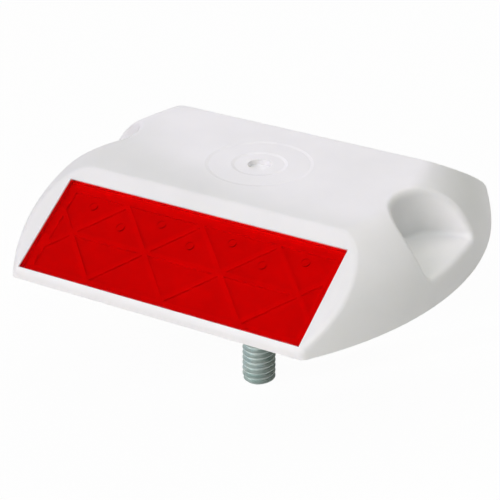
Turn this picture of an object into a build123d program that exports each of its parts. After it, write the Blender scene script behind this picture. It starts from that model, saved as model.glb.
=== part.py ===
from build123d import *

import os
from math import ceil, cos, floor, pi, radians, sin, sqrt, tan

# Reflective road stud with a potted anchor bolt. Millimetres and degrees.
# The origin is on the road surface, on the bolt's axis. X runs along the lenses, the front lens
# faces -Y, and Z is up.

# Body, as it sits on the road
BODY_WIDTH = 101.6  # across the two domed ends
BODY_DEPTH = 92.0  # from lip to lip
BODY_HEIGHT = 17.8  # from the road to the flat top
END_ARC_RADIUS = 81.0  # plan radius of each end
DOME_INSET = 15.0  # how far a dome leans in between the road and the top
DOME_DRAFT = 4.5  # lean of a dome from the upright, at the road
TOP_BLEND_RADIUS = 8.0  # between a dome and the flat top
LIP_HEIGHT = 2.15  # upright edge below each sloped face
FACE_SLOPE = 31.5  # of each lens face, from the road
FACE_EDGE_RADIUS = 1.8  # all round a sloped face
LIP_CORNER_RADIUS = 2.2  # upright corners of each lip
WALL = 2.5  # shell thickness

# Finger grips, one scooped out of each end
GRIP_INSET = 4.7  # from the end of the body to the scoop's axis
GRIP_RADIUS = 11.3
GRIP_FLOOR_HEIGHT = 5.8  # above the road
GRIP_FLOOR_RADIUS = 1.2  # between the scoop's floor and wall
GRIP_RIM_RADIUS = 1.6

# Moulding marks on the top, over the bolt
GATE_RADIUS = 2.7
GATE_DEPTH = 1.5
SINK_DISC_RADIUS = 6.5
SINK_DISC_DEPTH = 0.25
SINK_RING_RADIUS = 12.4
SINK_RING_DEPTH = 0.1
SINK_EDGE = 0.8  # width of the sloped edge of the disc and ring

# Lenses, set flush into the sloped faces
LENS_THICKNESS = 2.4
LENS_CORNER_RADIUS = 0.4
BEZEL_SIDE = 1.32  # from the corners of the lip in to the lens
BEZEL_BELOW = 0.95  # from the lip up the slope to the lens
BEZEL_ABOVE = 4.5  # from the lens up the slope to the flat top
LENS_RECESS = 0.1  # of the lens's face below the bezel
LENS_GAP = 0.1  # around the lens
EJECTOR_PADS = 7  # on the lens's back, in one zigzag row
EJECTOR_PAD_RADIUS = 0.95
EJECTOR_PAD_HEIGHT = 0.25
EJECTOR_PAD_PITCH = 9.0  # along the lens
EJECTOR_PAD_RISE = (4.4, 7.7)  # from the lens's middle up the slope, for every other pad

# Sealed air cells behind a lens, split into triangles by thin ribs that the lens is welded to
CELL_LEDGE = 2.15  # seat around the cells
CELL_DEPTH = 0.45
CELL_PITCH = 19.2  # between the crossings of diagonal ribs on the middle rib
CELL_RIB = 1.1
CELL_FLOOR = 2.0  # wall between the cells and the filling

# Inside of the shell
BOSS_WALL = 3.0  # around the corners of the bolt head's socket
SOCKET_DEPTH = 3.6
SOCKET_GAP = 0.15
STIFFENER = 2.0
STIFFENER_HEIGHT = 8.0  # down from the underside of the top
STIFFENER_PITCH = 22.0
STIFFENERS_ACROSS = 3

# Anchor bolt, 5/16-18 UNC
BOLT_REACH = 38.7  # below the road
BOLT_HEAD_SEAT = 6.05  # underside of the head, above the road
HEAD_ACROSS_FLATS = 12.7
HEAD_HEIGHT = 5.16
HEAD_CHAMFER = 0.8
THREAD_DIAMETER = 7.94
THREAD_PITCH = 1.411
THREAD_FLANK = 30.0  # from the plane across the bolt
THREAD_CREST = THREAD_PITCH / 8  # flat width
THREAD_ROOT = THREAD_PITCH / 4
THREAD_START = 2.2  # plain neck showing below the road surface
TIP_CHAMFER = 0.6

# Reach of cutting tools past the faces that they open
OVERCUT = 5.0
THREAD_OVERCUT = 0.05
FLAT = 0.999  # a face's normal counts as upright past this

HEXAGON_SIDES = 6
HALF_TURN = Rot(0, 0, 180)


def cylinder(radius, low, high):
    return extrude(Plane.XY.offset(low) * Circle(radius), amount=high - low)


def hexagon_corner(across_flats):
    """Radius through the corners of a hexagon."""
    return across_flats / 2 / cos(pi / HEXAGON_SIDES)


def hex_prism(across_flats, low, high):
    hexagon = RegularPolygon(hexagon_corner(across_flats), HEXAGON_SIDES)
    return extrude(Plane.XY.offset(low) * hexagon, amount=high - low)


def at_both_ends(solid, reach):
    """Place a solid at +X and, turned about the bolt's axis, at -X."""
    placed = Pos(reach, 0, 0) * solid
    return [placed, HALF_TURN * placed]


def at_both_faces(solid):
    """Place a solid that is drawn on the front face there and, turned about the bolt's axis, behind."""
    placed = FRONT_FACE * solid
    return [placed, HALF_TURN * placed]


# Front sloped face: X along the lens, Y up the slope from the lip's edge, Z out of the face
FRONT_FACE = Plane(
    origin=(0, -BODY_DEPTH / 2, LIP_HEIGHT),
    x_dir=(1, 0, 0),
    z_dir=(0, -sin(radians(FACE_SLOPE)), cos(radians(FACE_SLOPE))),
)
FACE_LENGTH = (BODY_HEIGHT - LIP_HEIGHT) / sin(radians(FACE_SLOPE))
LIP_WIDTH = BODY_WIDTH + 2 * (sqrt(END_ARC_RADIUS**2 - (BODY_DEPTH / 2) ** 2) - END_ARC_RADIUS)
LENS_WIDTH = LIP_WIDTH - 2 * BEZEL_SIDE
LENS_LENGTH = FACE_LENGTH - BEZEL_BELOW - BEZEL_ABOVE
LENS_MIDDLE = BEZEL_BELOW + LENS_LENGTH / 2
SEAT_DEPTH = LENS_RECESS + LENS_THICKNESS
CELL_AREA_WIDTH = LENS_WIDTH - 2 * CELL_LEDGE
CELL_AREA_LENGTH = LENS_LENGTH - 2 * CELL_LEDGE
HEAD_TOP = BOLT_HEAD_SEAT + HEAD_HEIGHT
SOCKET_ACROSS_FLATS = HEAD_ACROSS_FLATS + 2 * SOCKET_GAP
BOSS_RADIUS = hexagon_corner(SOCKET_ACROSS_FLATS) + BOSS_WALL
BOSS_MOUTH = HEAD_TOP - SOCKET_DEPTH
CEILING = BODY_HEIGHT - WALL
GRIP_REACH = BODY_WIDTH / 2 - GRIP_INSET


def dome_of_revolution(inset, top):
    """Body of revolution whose side is the dome's section, moved in by inset, under a flat top."""
    draft = radians(DOME_DRAFT)
    lean = DOME_INSET * cos(draft) - BODY_HEIGHT * sin(draft)
    full_radius = (DOME_INSET**2 + BODY_HEIGHT**2) / (2 * lean)
    centre_r = END_ARC_RADIUS - full_radius * cos(draft)
    centre_z = -full_radius * sin(draft)
    radius = full_radius - inset
    blend = TOP_BLEND_RADIUS - inset
    rise = top - blend - centre_z
    run = sqrt((radius - blend) ** 2 - rise**2)
    stretch = radius / (radius - blend)
    foot = (centre_r + sqrt(radius**2 - centre_z**2), 0)
    shoulder = (centre_r + run * stretch, centre_z + rise * stretch)
    crown = (centre_r + run, top)
    side = RadiusArc(foot, shoulder, -radius)
    rounding = RadiusArc(shoulder, crown, -blend)
    rest = Polyline(crown, (0, top), (0, 0), foot)
    section = make_face([*side.edges(), *rounding.edges(), *rest.edges()])
    return revolve(Plane.XZ * section, Axis.Z)


def envelope(side_inset, face_inset, top_inset):
    """Body outline, or the same outline moved in, without its rounded edges and grips."""
    slope = radians(FACE_SLOPE)
    lip_y = BODY_DEPTH / 2 - side_inset
    lip_z = LIP_HEIGHT + side_inset * tan(slope) - face_inset / cos(slope)
    ridge_z = lip_z + lip_y * tan(slope)
    outline = Polyline(
        (-lip_y, lip_z - BODY_DEPTH),
        (-lip_y, lip_z),
        (0, ridge_z),
        (lip_y, lip_z),
        (lip_y, lip_z - BODY_DEPTH),
        close=True,
    )
    roof = extrude(Plane.YZ * make_face(outline), amount=BODY_WIDTH, both=True)
    end = dome_of_revolution(side_inset, BODY_HEIGHT - top_inset)
    right_end, left_end = at_both_ends(end, BODY_WIDTH / 2 - END_ARC_RADIUS)
    return (roof & right_end & left_end).solid()


def rounded_body():
    """Outside of the shell: sloped faces, flat top, domed ends and finger grips, with round edges."""
    body = envelope(0, 0, 0)
    lips = body.faces().filter_by(Axis.Y)
    body = fillet([e for f in lips for e in f.edges().sort_by(Axis.Z)[1:-1]], LIP_CORNER_RADIUS)
    sloped = [f for f in body.faces().filter_by(GeomType.PLANE) if 1 - FLAT < f.normal_at().Z < FLAT]
    body = fillet([e for f in sloped for e in f.edges()], FACE_EDGE_RADIUS)
    scoop = cylinder(GRIP_RADIUS, GRIP_FLOOR_HEIGHT, BODY_HEIGHT + OVERCUT)
    scoop = fillet(scoop.edges().group_by(Axis.Z)[0], GRIP_FLOOR_RADIUS)
    scoops = at_both_ends(scoop, GRIP_REACH)
    scooped = body - scoops
    return fillet(new_edges(body, *scoops, combined=scooped), GRIP_RIM_RADIUS)


def lens_pocket():
    """Recess that seats a lens, drawn on the front face."""
    width = LENS_WIDTH + 2 * LENS_GAP
    length = LENS_LENGTH + 2 * LENS_GAP
    return Pos(0, LENS_MIDDLE, (OVERCUT - SEAT_DEPTH) / 2) * Box(width, length, OVERCUT + SEAT_DEPTH)


def crossing_places():
    """Where the diagonal ribs cross on the middle rib, along the lens."""
    each_side = floor(CELL_AREA_WIDTH / 2 / CELL_PITCH + 1 / 2)
    return [(i + 1 / 2) * CELL_PITCH for i in range(-each_side, each_side)]


def air_cells():
    """Triangular cells sunk below a lens's seat, drawn on the front face."""
    area = Box(CELL_AREA_WIDTH, CELL_AREA_LENGTH, CELL_DEPTH)
    crossings = crossing_places()
    middle_rib = Box(crossings[-1] - crossings[0], CELL_RIB, CELL_DEPTH)
    diagonal = Vector(CELL_PITCH, CELL_AREA_LENGTH)
    diagonal_rib = Box(diagonal.length + CELL_PITCH, CELL_RIB, CELL_DEPTH)
    lean = Axis.X.direction.get_angle(diagonal)
    crossing = Rot(0, 0, lean) * diagonal_rib + Rot(0, 0, -lean) * diagonal_rib
    cells = area - middle_rib - [Pos(x, 0, 0) * crossing for x in crossings]
    return Pos(0, LENS_MIDDLE, -SEAT_DEPTH - CELL_DEPTH / 2) * cells


def filling_space():
    """Hollow of the shell, open to the road: what the casting resin fills, before the bolt's share."""
    space = envelope(WALL, SEAT_DEPTH + CELL_DEPTH + CELL_FLOOR, WALL)
    grip_wall = cylinder(GRIP_RADIUS + WALL, GRIP_FLOOR_HEIGHT - WALL, BODY_HEIGHT)
    boss = cylinder(BOSS_RADIUS, BOSS_MOUTH, BODY_HEIGHT)
    level = CEILING - STIFFENER_HEIGHT / 2
    along = Pos(0, 0, level) * Box(BODY_WIDTH, STIFFENER, STIFFENER_HEIGHT)
    across = Pos(0, 0, level) * Box(STIFFENER, BODY_DEPTH, STIFFENER_HEIGHT)
    first = -STIFFENER_PITCH * (STIFFENERS_ACROSS - 1) / 2
    stiffeners = along + [Pos(first + i * STIFFENER_PITCH, 0, 0) * across for i in range(STIFFENERS_ACROSS)]
    stiffeners -= cylinder(BOSS_RADIUS, 0, BOSS_MOUTH)
    return space - at_both_ends(grip_wall, GRIP_REACH) - boss - stiffeners


def groove_depth(width):
    """Depth below the thread's crests at which its groove has this width."""
    return (THREAD_PITCH - THREAD_CREST - width) / 2 / tan(radians(THREAD_FLANK))


def bolt_blank():
    """Bolt before its thread is rolled: hexagon head, neck at the pitch diameter, and threaded length."""
    crest = THREAD_DIAMETER / 2
    neck = crest - groove_depth(THREAD_PITCH / 2)
    outline = Polyline(
        (0, BOLT_HEAD_SEAT),
        (neck, BOLT_HEAD_SEAT),
        (neck, -THREAD_START),
        (crest, -THREAD_START - (crest - neck)),
        (crest, TIP_CHAMFER - BOLT_REACH),
        (crest - TIP_CHAMFER, -BOLT_REACH),
        (0, -BOLT_REACH),
        close=True,
    )
    shank = revolve(Plane.XZ * make_face(outline), Axis.Z)
    head = hex_prism(HEAD_ACROSS_FLATS, BOLT_HEAD_SEAT, HEAD_TOP)
    head_cone = cylinder(hexagon_corner(HEAD_ACROSS_FLATS), BOLT_HEAD_SEAT, HEAD_TOP)
    head_cone = chamfer(head_cone.edges().group_by(Axis.Z)[-1], HEAD_CHAMFER)
    return (shank + (head & head_cone)).solid()


def thread_turn():
    """One turn of the thread's groove, starting at the road surface."""
    crest = THREAD_DIAMETER / 2
    root = crest - groove_depth(THREAD_ROOT)
    mouth = crest + THREAD_OVERCUT
    half_root = THREAD_ROOT / 2
    half_mouth = half_root + (mouth - root) * tan(radians(THREAD_FLANK))
    groove = Polyline(
        (root, -half_root),
        (mouth, -half_mouth),
        (mouth, half_mouth),
        (root, half_root),
        close=True,
    )
    helix = Helix(pitch=THREAD_PITCH, height=THREAD_PITCH, radius=crest)
    return sweep(Plane.XZ * make_face(groove), path=helix, is_frenet=True)


def moulding_marks():
    """Sink marks and gate on the top: a faint ring and disc with sloped edges, and a round hole."""
    ring = BODY_HEIGHT - SINK_RING_DEPTH
    disc = BODY_HEIGHT - SINK_DISC_DEPTH
    gate = BODY_HEIGHT - GATE_DEPTH
    above = BODY_HEIGHT + OVERCUT
    outline = Polyline(
        (0, above),
        (SINK_RING_RADIUS, above),
        (SINK_RING_RADIUS, BODY_HEIGHT),
        (SINK_RING_RADIUS - SINK_EDGE, ring),
        (SINK_DISC_RADIUS, ring),
        (SINK_DISC_RADIUS - SINK_EDGE, disc),
        (GATE_RADIUS, disc),
        (GATE_RADIUS, gate),
        (0, gate),
        close=True,
    )
    return revolve(Plane.XZ * make_face(outline), Axis.Z)


def housing(hollow):
    shell = rounded_body()
    shell -= at_both_faces(lens_pocket()) + at_both_faces(air_cells())
    shell -= hollow
    shell -= hex_prism(SOCKET_ACROSS_FLATS, BOSS_MOUTH, HEAD_TOP)
    return shell - moulding_marks()


def lens():
    """Lens plate, drawn on the front face, with ejector pads on its back."""
    plate = Box(LENS_WIDTH, LENS_LENGTH, LENS_THICKNESS)
    plate = fillet(plate.edges().filter_by(Axis.Z), LENS_CORNER_RADIUS)
    plate = Pos(0, LENS_MIDDLE, -LENS_RECESS - LENS_THICKNESS / 2) * plate
    pad = cylinder(EJECTOR_PAD_RADIUS, -SEAT_DEPTH - EJECTOR_PAD_HEIGHT, -SEAT_DEPTH)
    low_rise, high_rise = EJECTOR_PAD_RISE
    for i in range(EJECTOR_PADS):
        x = (i - (EJECTOR_PADS - 1) / 2) * EJECTOR_PAD_PITCH
        plate += Pos(x, LENS_MIDDLE + (low_rise if i % 2 else high_rise), 0) * pad
    return plate


def anchor_bolt(blank):
    bolt = blank
    turn = thread_turn()
    turns = ceil((BOLT_REACH - THREAD_START) / THREAD_PITCH) + 1
    for i in range(turns):
        bolt -= Pos(0, 0, (i - 1) * THREAD_PITCH - BOLT_REACH) * turn
    return bolt


os.makedirs("parts", exist_ok=True)
hollow = filling_space()
blank = bolt_blank()
front_lens, rear_lens = at_both_faces(lens())
nodes = {
    "housing": housing(hollow),
    "front_lens": front_lens,
    "rear_lens": rear_lens,
    "potting_fill": hollow - blank,
    "anchor_bolt": anchor_bolt(blank),
}
for name, solid in nodes.items():
    export_step(solid, f"parts/{name}.step")
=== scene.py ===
"""Looks of a reflective road stud: white moulded body, red lenses, zinc-plated bolt and cast resin."""

from math import cos, radians, sin

import bmesh
import bpy
from mathutils import Matrix, Vector


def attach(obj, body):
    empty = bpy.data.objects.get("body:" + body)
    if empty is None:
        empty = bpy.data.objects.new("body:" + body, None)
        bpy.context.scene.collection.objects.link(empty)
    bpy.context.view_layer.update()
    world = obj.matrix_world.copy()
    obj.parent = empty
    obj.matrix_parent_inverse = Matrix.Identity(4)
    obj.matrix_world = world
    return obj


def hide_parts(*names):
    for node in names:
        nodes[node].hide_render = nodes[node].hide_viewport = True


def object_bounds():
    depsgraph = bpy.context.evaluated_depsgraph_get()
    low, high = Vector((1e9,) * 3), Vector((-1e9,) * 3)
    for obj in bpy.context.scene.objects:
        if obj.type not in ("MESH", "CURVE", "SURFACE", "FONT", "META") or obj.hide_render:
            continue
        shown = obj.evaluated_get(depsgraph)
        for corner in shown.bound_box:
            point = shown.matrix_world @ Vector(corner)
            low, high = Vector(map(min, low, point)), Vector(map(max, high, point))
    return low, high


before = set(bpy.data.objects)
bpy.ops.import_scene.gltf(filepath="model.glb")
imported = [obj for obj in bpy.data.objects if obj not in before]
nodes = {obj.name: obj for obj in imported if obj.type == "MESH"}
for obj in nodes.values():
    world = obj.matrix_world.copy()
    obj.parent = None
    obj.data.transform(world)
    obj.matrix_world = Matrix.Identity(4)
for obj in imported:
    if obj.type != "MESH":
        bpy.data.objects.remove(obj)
cad_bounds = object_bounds()
MM = 0.001
WHITE = (1.0, 1.0, 1.0)

# Camera fitted to the photograph
CAMERA_AZIMUTH = 30.19  # degrees round the stud, to the right of its front
CAMERA_ELEVATION = 27.02
CAMERA_PLACE = Vector((191.48, -333.43, 191.81)) * MM
CAMERA_LENS = 133.76  # millimetres, on Blender's sensor of 36
CAMERA_NEAR = 10.0 * MM

# Shape of the lenses
LENS_LIFT = 0.02 * MM  # air film between a lens and the ribs behind it
LENS_BEVEL = 0.12 * MM  # width of the softened front edge
LENS_BEVEL_STEPS = 3
SAME_PLANE = 0.01 * MM  # points this close to a plane lie in it
BACKWARD = -0.9  # a face is on the back if its normal's dot product with the front's is below this

# Finishes: shades are ramp stops of place and colour, and roughnesses run from low to high
PLASTIC_SHADES = ((0.3, (0.86, 0.858, 0.865)), (0.7, (0.9, 0.895, 0.905)))
PLASTIC_ROUGHNESS = (0.36, 0.46)
PAINTED_CELL_SHADE = 0.93  # painted shade: share of the cell floors' colour that is kept, standing in for the light lost past the lens's prisms
CELL_FLOOR = (0.4 * MM, 1.0 * MM)  # reach of that painted shade below the lens
ACRYLIC_SHADES = ((0.3, (0.99, 0.001, 0.001)), (0.7, (1.0, 0.002, 0.002)))
ACRYLIC_ROUGHNESS = (0.03, 0.07)
RIM_ROUGHNESS = 0.3  # of a lens's matt sides
ZINC_SHADES = ((0.3, (0.3, 0.38, 0.36)), (0.5, (0.42, 0.47, 0.45)), (0.7, (0.36, 0.45, 0.46)))
ZINC_ROUGHNESS = (0.42, 0.58)
RESIN_SHADES = ((0.0, (0.13, 0.12, 0.1)), (0.5, (0.33, 0.31, 0.27)), (1.0, (0.5, 0.47, 0.41)))

# Floor and surround
FLOOR_SIZE = 6.0
FLOOR_COLOUR = (0.9, 0.9, 0.88)
FLOOR_SHADOW = 0.03  # share of the floor's picture that takes light and shadow
FILL_COLOUR = (1.0, 1.0, 0.96)
FILL_STRENGTH = 0.01
SURROUND_BY_HEIGHT = ((0.55, WHITE), (0.8, (0.02, 0.02, 0.022)))
SURROUND_BY_SIDE = ((0.1, (0.16, 0.18, 0.14)), (0.75, (0.97, 1.0, 1.0)))
LIGHTER_SIDE = (-0.87, -0.5, 0.0)  # to the camera's left

# Lamps
SOFTBOX_DISTANCE = 1.0
SPOT_DISTANCE = 0.8
SPOT_BLEND = 0.8
SPOT_RADIUS = 3.0 * MM
TOP_TARGET = Vector((8.0 * MM, 10.0 * MM, cad_bounds[1][2]))  # light fades from here to the front edge
BOLT_TARGET = Vector((0.0, 0.0, cad_bounds[0][2] + 7.7 * MM))  # on the thread, above the bolt's end


def shader_tree(owner):
    """Empty node tree of a material or world, with a function that adds a node and sets its inputs."""
    owner.use_nodes = True
    tree = owner.node_tree
    tree.nodes.clear()

    def add(kind, inputs=None, **settings):
        node = tree.nodes.new(kind)
        for name, value in settings.items():
            setattr(node, name, value)
        for name, value in (inputs or {}).items():
            if isinstance(value, bpy.types.NodeSocket):
                tree.links.new(value, node.inputs[name])
            else:
                node.inputs[name].default_value = value
        return node

    return add


def ramp(add, factor, *stops):
    """Colour ramp with (place, colour) stops."""
    node = add("ShaderNodeValToRGB", {"Fac": factor})
    elements = node.color_ramp.elements
    while len(elements) < len(stops):
        elements.new(1.0)
    for element, (place, colour) in zip(elements, stops):
        element.position = place
        element.color = (*colour, 1.0)
    return node.outputs["Color"]


def noise(add, place, scale, detail=2.0, roughness=0.5):
    """Noise from 0 to 1, with its scale in cells per metre."""
    inputs = {"Vector": place, "Scale": scale, "Detail": detail, "Roughness": roughness}
    return add("ShaderNodeTexNoise", inputs).outputs["Fac"]


def spread(add, factor, low, high):
    """Map a 0 to 1 factor to a range."""
    node = add("ShaderNodeMapRange", {"Value": factor, "To Min": low, "To Max": high})
    return node.outputs["Result"]


def combine(add, operation, first, *others):
    """One value out of several, by the same math operation each time."""
    for other in others:
        first = add("ShaderNodeMath", {0: first, 1: other}, operation=operation).outputs["Value"]
    return first


def within(add, value, low, high):
    """1 where a value is between two limits, 0 elsewhere."""
    inputs = {0: value, 1: (low + high) / 2, 2: (high - low) / 2}
    return add("ShaderNodeMath", inputs, operation="COMPARE").outputs["Value"]


def largest(polygons):
    return max(polygons, key=lambda p: p.area)


def lens_span(mesh):
    """Limits of a lens's plate along it, up it and out of its face, and the turn to those axes."""
    out = largest(p for p in mesh.polygons if p.normal.z > 0).normal.normalized()
    along = Vector((0, 0, 1)).cross(out).normalized()
    to_lens = Matrix((along, out.cross(along), out))
    places = [to_lens @ v.co for v in mesh.vertices]
    low, high = (Vector(limit(p[i] for p in places) for i in range(3)) for limit in (min, max))
    back = largest(p for p in mesh.polygons if p.normal.dot(out) < BACKWARD)
    low.z = places[back.vertices[0]].z
    return low, high, to_lens


def lens_axes(add, place):
    """Place along, up and out of the nearer lens, as on the front one, and that lens's limits."""
    low, high, to_lens = lens_span(nodes["front_lens"].data)
    mirrored = add("ShaderNodeVectorMath", {0: place}, operation="ABSOLUTE").outputs["Vector"]
    axes = []
    for row in to_lens:
        inputs = {0: mirrored, 1: (row.x, -row.y, row.z)}
        axes.append(add("ShaderNodeVectorMath", inputs, operation="DOT_PRODUCT").outputs["Value"])
    return axes, low, high


def painted_shade_mask(add, place):
    """1 on the floors of the air cells behind either lens, where painted shade darkens the colour, 0
    elsewhere on the body.
    """
    (along, up, out), low, high = lens_axes(add, place)
    return combine(
        add, "MULTIPLY",
        within(add, out, low.z - CELL_FLOOR[1], low.z - CELL_FLOOR[0]),
        within(add, along, 0.0, high.x),
        within(add, up, low.y, high.y))


def off_rim(add, place):
    """1 on the polished faces of either lens, 0 on its matt sides."""
    axes, low, high = lens_axes(add, place)
    along, up = axes[:2]
    return combine(
        add, "MULTIPLY",
        within(add, along, 0.0, high.x - SAME_PLANE),
        within(add, up, low.y + SAME_PLANE, high.y - SAME_PLANE))


def white_plastic():
    """Moulded plastic with a faint cloud in its colour, a fine grain, and painted shade on the cell
    floors behind the lenses.
    """
    material = bpy.data.materials.new("white_plastic")
    add = shader_tree(material)
    place = add("ShaderNodeTexCoord").outputs["Object"]
    colour = ramp(add, noise(add, place, scale=60.0, detail=3.0), *PLASTIC_SHADES)
    # painted shade: the colour is darkened on the cell floors behind the lenses
    painted_shade = spread(add, painted_shade_mask(add, place), 1.0, PAINTED_CELL_SHADE)
    colour = add("ShaderNodeVectorMath", {
        0: colour, "Scale": painted_shade}, operation="SCALE").outputs["Vector"]
    grain = noise(add, place, scale=4200.0)
    bump = add("ShaderNodeBump", {"Height": grain, "Strength": 0.12, "Distance": 0.02 * MM})
    gloss = spread(add, noise(add, place, scale=350.0, detail=3.0), *PLASTIC_ROUGHNESS)
    shader = add("ShaderNodeBsdfPrincipled", {
        "Base Color": colour, "Roughness": gloss, "Normal": bump.outputs["Normal"], "IOR": 1.5,
        "Subsurface Weight": 0.3, "Subsurface Radius": (1.0, 0.95, 0.85), "Subsurface Scale": 0.5 * MM})
    add("ShaderNodeOutputMaterial", {"Surface": shader.outputs["BSDF"]})
    return material


def red_acrylic():
    """Clear red plastic, polished on its faces and matt on its sides."""
    material = bpy.data.materials.new("red_acrylic")
    add = shader_tree(material)
    place = add("ShaderNodeTexCoord").outputs["Object"]
    colour = ramp(add, noise(add, place, scale=90.0), *ACRYLIC_SHADES)
    polish = spread(add, noise(add, place, scale=900.0, detail=3.0), *ACRYLIC_ROUGHNESS)
    gloss = add("ShaderNodeMix", {
        "Factor": off_rim(add, place), "A": RIM_ROUGHNESS, "B": polish}).outputs["Result"]
    shader = add("ShaderNodeBsdfPrincipled", {
        "Base Color": colour, "Roughness": gloss, "IOR": 1.49, "Transmission Weight": 1.0})
    add("ShaderNodeOutputMaterial", {"Surface": shader.outputs["BSDF"]})
    return material


def zinc_steel():
    """Dull zinc plating with bluish and greenish patches."""
    material = bpy.data.materials.new("zinc_steel")
    add = shader_tree(material)
    place = add("ShaderNodeTexCoord").outputs["Object"]
    patches = noise(add, place, scale=260.0, detail=4.0, roughness=0.6)
    colour = ramp(add, patches, *ZINC_SHADES)
    gloss = spread(add, noise(add, place, scale=1500.0, detail=3.0), *ZINC_ROUGHNESS)
    grain = noise(add, place, scale=3000.0, detail=3.0)
    bump = add("ShaderNodeBump", {"Height": grain, "Strength": 0.2, "Distance": 0.02 * MM})
    shader = add("ShaderNodeBsdfPrincipled", {
        "Base Color": colour, "Roughness": gloss, "Metallic": 0.6, "Normal": bump.outputs["Normal"]})
    add("ShaderNodeOutputMaterial", {"Surface": shader.outputs["BSDF"]})
    return material


def cast_resin():
    """Rough resin filled with sand, each grain in its own tone."""
    material = bpy.data.materials.new("cast_resin")
    add = shader_tree(material)
    place = add("ShaderNodeTexCoord").outputs["Object"]
    sand = add("ShaderNodeTexVoronoi", {"Vector": place, "Scale": 1400.0}).outputs["Color"]
    sand_tone = add("ShaderNodeSeparateColor", {"Color": sand}).outputs["Red"]
    colour = ramp(add, sand_tone, *RESIN_SHADES)
    height = noise(add, place, scale=900.0, detail=4.0, roughness=0.6)
    bump = add("ShaderNodeBump", {"Height": height, "Strength": 0.6, "Distance": 0.2 * MM})
    shader = add("ShaderNodeBsdfPrincipled", {
        "Base Color": colour, "Roughness": 0.85, "Normal": bump.outputs["Normal"]})
    add("ShaderNodeOutputMaterial", {"Surface": shader.outputs["BSDF"]})
    return material


def lens_piece(node):
    """Lens with a softened front edge, lifted off the ribs by a film of air."""
    source = nodes[node].data
    low, high, to_lens = lens_span(source)
    bm = bmesh.new()
    bm.from_mesh(source)
    bmesh.ops.remove_doubles(bm, verts=bm.verts, dist=SAME_PLANE)
    for v in bm.verts:
        if (to_lens @ v.co).z < low.z + SAME_PLANE:
            v.co += to_lens[2] * LENS_LIFT
    front_level = high.z - SAME_PLANE
    front_faces = [f for f in bm.faces if all((to_lens @ v.co).z > front_level for v in f.verts)]
    front = bmesh.ops.dissolve_faces(bm, faces=front_faces)["region"][0]
    rim = list(front.edges)
    bmesh.ops.bevel(
        bm, geom=rim, offset=LENS_BEVEL, segments=LENS_BEVEL_STEPS, profile=0.5, affect="EDGES")
    for f in bm.faces:
        f.smooth = False
    mesh = bpy.data.meshes.new(node + "_plate")
    bm.to_mesh(mesh)
    bm.free()
    piece = bpy.data.objects.new(node + "_plate", mesh)
    bpy.context.scene.collection.objects.link(piece)
    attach(piece, "root")
    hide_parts(node)
    return piece


def dress(obj, material):
    obj.data.materials.clear()
    obj.data.materials.append(material)


def floor():
    """White floor that keeps a faint shadow, level with the bolt's end."""
    material = bpy.data.materials.new("white_floor")
    add = shader_tree(material)
    rays = add("ShaderNodeLightPath").outputs
    seen = combine(
        add, "MAXIMUM", rays["Is Camera Ray"], rays["Is Glossy Ray"], rays["Is Transmission Ray"])
    share = spread(add, seen, 1.0, FLOOR_SHADOW)
    white = add("ShaderNodeEmission", {"Color": (*WHITE, 1.0), "Strength": 1.0})
    matt = add("ShaderNodeBsdfDiffuse", {"Color": (*FLOOR_COLOUR, 1.0)})
    mixed = add("ShaderNodeMixShader", {"Fac": share, 1: white.outputs[0], 2: matt.outputs[0]})
    add("ShaderNodeOutputMaterial", {"Surface": mixed.outputs[0]})
    half = FLOOR_SIZE / 2
    level = cad_bounds[0][2]
    mesh = bpy.data.meshes.new("floor")
    corners = [(-half, -half, level), (half, -half, level), (half, half, level), (-half, half, level)]
    mesh.from_pydata(corners, [], [(0, 1, 2, 3)])
    obj = bpy.data.objects.new("floor", mesh)
    bpy.context.scene.collection.objects.link(obj)
    dress(obj, material)


def studio_world():
    """White background, a faint fill, and in reflections a dark ceiling and a darker right side."""
    world = bpy.data.worlds.new("studio")
    bpy.context.scene.world = world
    add = shader_tree(world)
    rays = add("ShaderNodeLightPath").outputs
    toward = add("ShaderNodeTexCoord").outputs["Generated"]
    height = add("ShaderNodeSeparateXYZ", {"Vector": toward}).outputs["Z"]
    leftward = add("ShaderNodeVectorMath", {
        0: toward, 1: LIGHTER_SIDE}, operation="DOT_PRODUCT").outputs["Value"]
    turn = add("ShaderNodeMapRange", {"Value": leftward, "From Min": -1.0}).outputs["Result"]
    surround = add("ShaderNodeVectorMath", {
        0: ramp(add, height, *SURROUND_BY_HEIGHT),
        1: ramp(add, turn, *SURROUND_BY_SIDE)}, operation="MULTIPLY").outputs["Vector"]
    fill = add("ShaderNodeBackground", {"Color": (*FILL_COLOUR, 1.0), "Strength": FILL_STRENGTH})
    mirrored = add("ShaderNodeBackground", {"Color": surround, "Strength": 1.0})
    white = add("ShaderNodeBackground", {"Color": (*WHITE, 1.0), "Strength": 1.0})
    traced = combine(add, "MAXIMUM", rays["Is Glossy Ray"], rays["Is Transmission Ray"])
    lit = add("ShaderNodeMixShader", {"Fac": traced, 1: fill.outputs[0], 2: mirrored.outputs[0]})
    seen = add("ShaderNodeMixShader", {
        "Fac": rays["Is Camera Ray"], 1: lit.outputs[0], 2: white.outputs[0]})
    add("ShaderNodeOutputWorld", {"Surface": seen.outputs[0]})


def direction(azimuth, elevation):
    """Unit vector out from the stud, by degrees round it from its front to the right and above it."""
    turn, rise = radians(azimuth), radians(elevation)
    return Vector((sin(turn) * cos(rise), -cos(turn) * cos(rise), sin(rise)))


def hang(name, light, out, target, distance):
    """Place a lamp at a distance out from a target, facing it."""
    lamp = bpy.data.objects.new(name, light)
    bpy.context.scene.collection.objects.link(lamp)
    lamp.location = target + out * distance
    lamp.rotation_euler = out.to_track_quat("Z", "Y").to_euler()


def softbox(name, azimuth, elevation, size, power, colour):
    """Round soft box that faces the stud, with its diameter in metres."""
    light = bpy.data.lights.new(name, "AREA")
    light.shape = "DISK"
    light.size = size
    light.energy = power
    light.color = colour
    hang(name, light, direction(azimuth, elevation), Vector(), SOFTBOX_DISTANCE)


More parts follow.
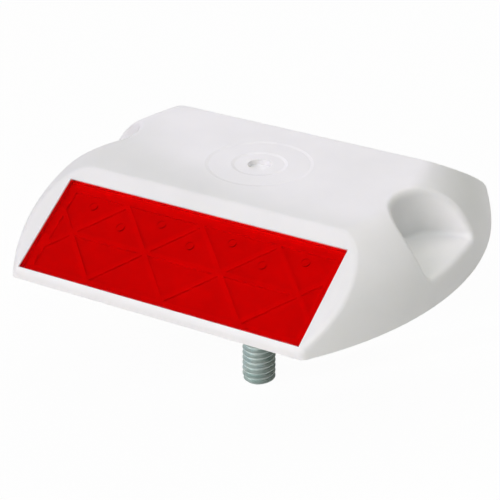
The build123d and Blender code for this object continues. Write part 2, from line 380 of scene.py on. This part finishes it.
def spot(name, azimuth, elevation, target, cone, power, colour):
    """Narrow spot on one place of the stud, with its cone in degrees."""
    light = bpy.data.lights.new(name, "SPOT")
    light.spot_size = radians(cone)
    light.spot_blend = SPOT_BLEND
    light.shadow_soft_size = SPOT_RADIUS
    light.energy = power
    light.color = colour
    hang(name, light, direction(azimuth, elevation), target, SPOT_DISTANCE)


def lamps():
    """Light from all round the stud, a grazing spot on its top and one on its thread."""
    softbox("key", azimuth=0.0, elevation=40.0, size=1.1, power=4.0, colour=(1.0, 0.99, 0.9))
    softbox("left", azimuth=-30.0, elevation=40.0, size=0.5, power=2.7, colour=(0.85, 0.78, 1.0))
    softbox("low", azimuth=0.0, elevation=15.0, size=0.6, power=1.6, colour=(1.0, 0.95, 0.85))
    softbox("right", azimuth=60.0, elevation=60.0, size=0.5, power=1.6, colour=(0.88, 0.98, 1.0))
    softbox("far_right", azimuth=120.0, elevation=50.0, size=0.5, power=1.0, colour=(1.0, 0.94, 0.87))
    softbox("back", azimuth=175.0, elevation=58.0, size=0.6, power=2.1, colour=(1.0, 0.92, 0.83))
    softbox("far_left", azimuth=-150.0, elevation=60.0, size=0.5, power=0.7, colour=(0.8, 0.98, 1.0))
    spot(
        "sweep", azimuth=-101.0, elevation=28.0, target=TOP_TARGET, cone=4.6,
        power=8.2, colour=(0.92, 0.83, 1.0))
    spot(
        "glint", azimuth=-40.0, elevation=12.0, target=BOLT_TARGET, cone=2.4,
        power=24.0, colour=(0.92, 0.97, 1.0))


def camera():
    back = direction(CAMERA_AZIMUTH, CAMERA_ELEVATION)
    data = bpy.data.cameras.new("photo_camera")
    data.lens = CAMERA_LENS
    data.clip_start = CAMERA_NEAR
    obj = bpy.data.objects.new("photo_camera", data)
    bpy.context.scene.collection.objects.link(obj)
    obj.location = CAMERA_PLACE
    obj.rotation_euler = back.to_track_quat("Z", "Y").to_euler()
    bpy.context.scene.camera = obj


dress(nodes["housing"], white_plastic())
dress(nodes["potting_fill"], cast_resin())
dress(nodes["anchor_bolt"], zinc_steel())
acrylic = red_acrylic()
for lens in ("front_lens", "rear_lens"):
    dress(lens_piece(lens), acrylic)
floor()
studio_world()
lamps()
camera()
bpy.context.scene.view_settings.view_transform = "Standard"
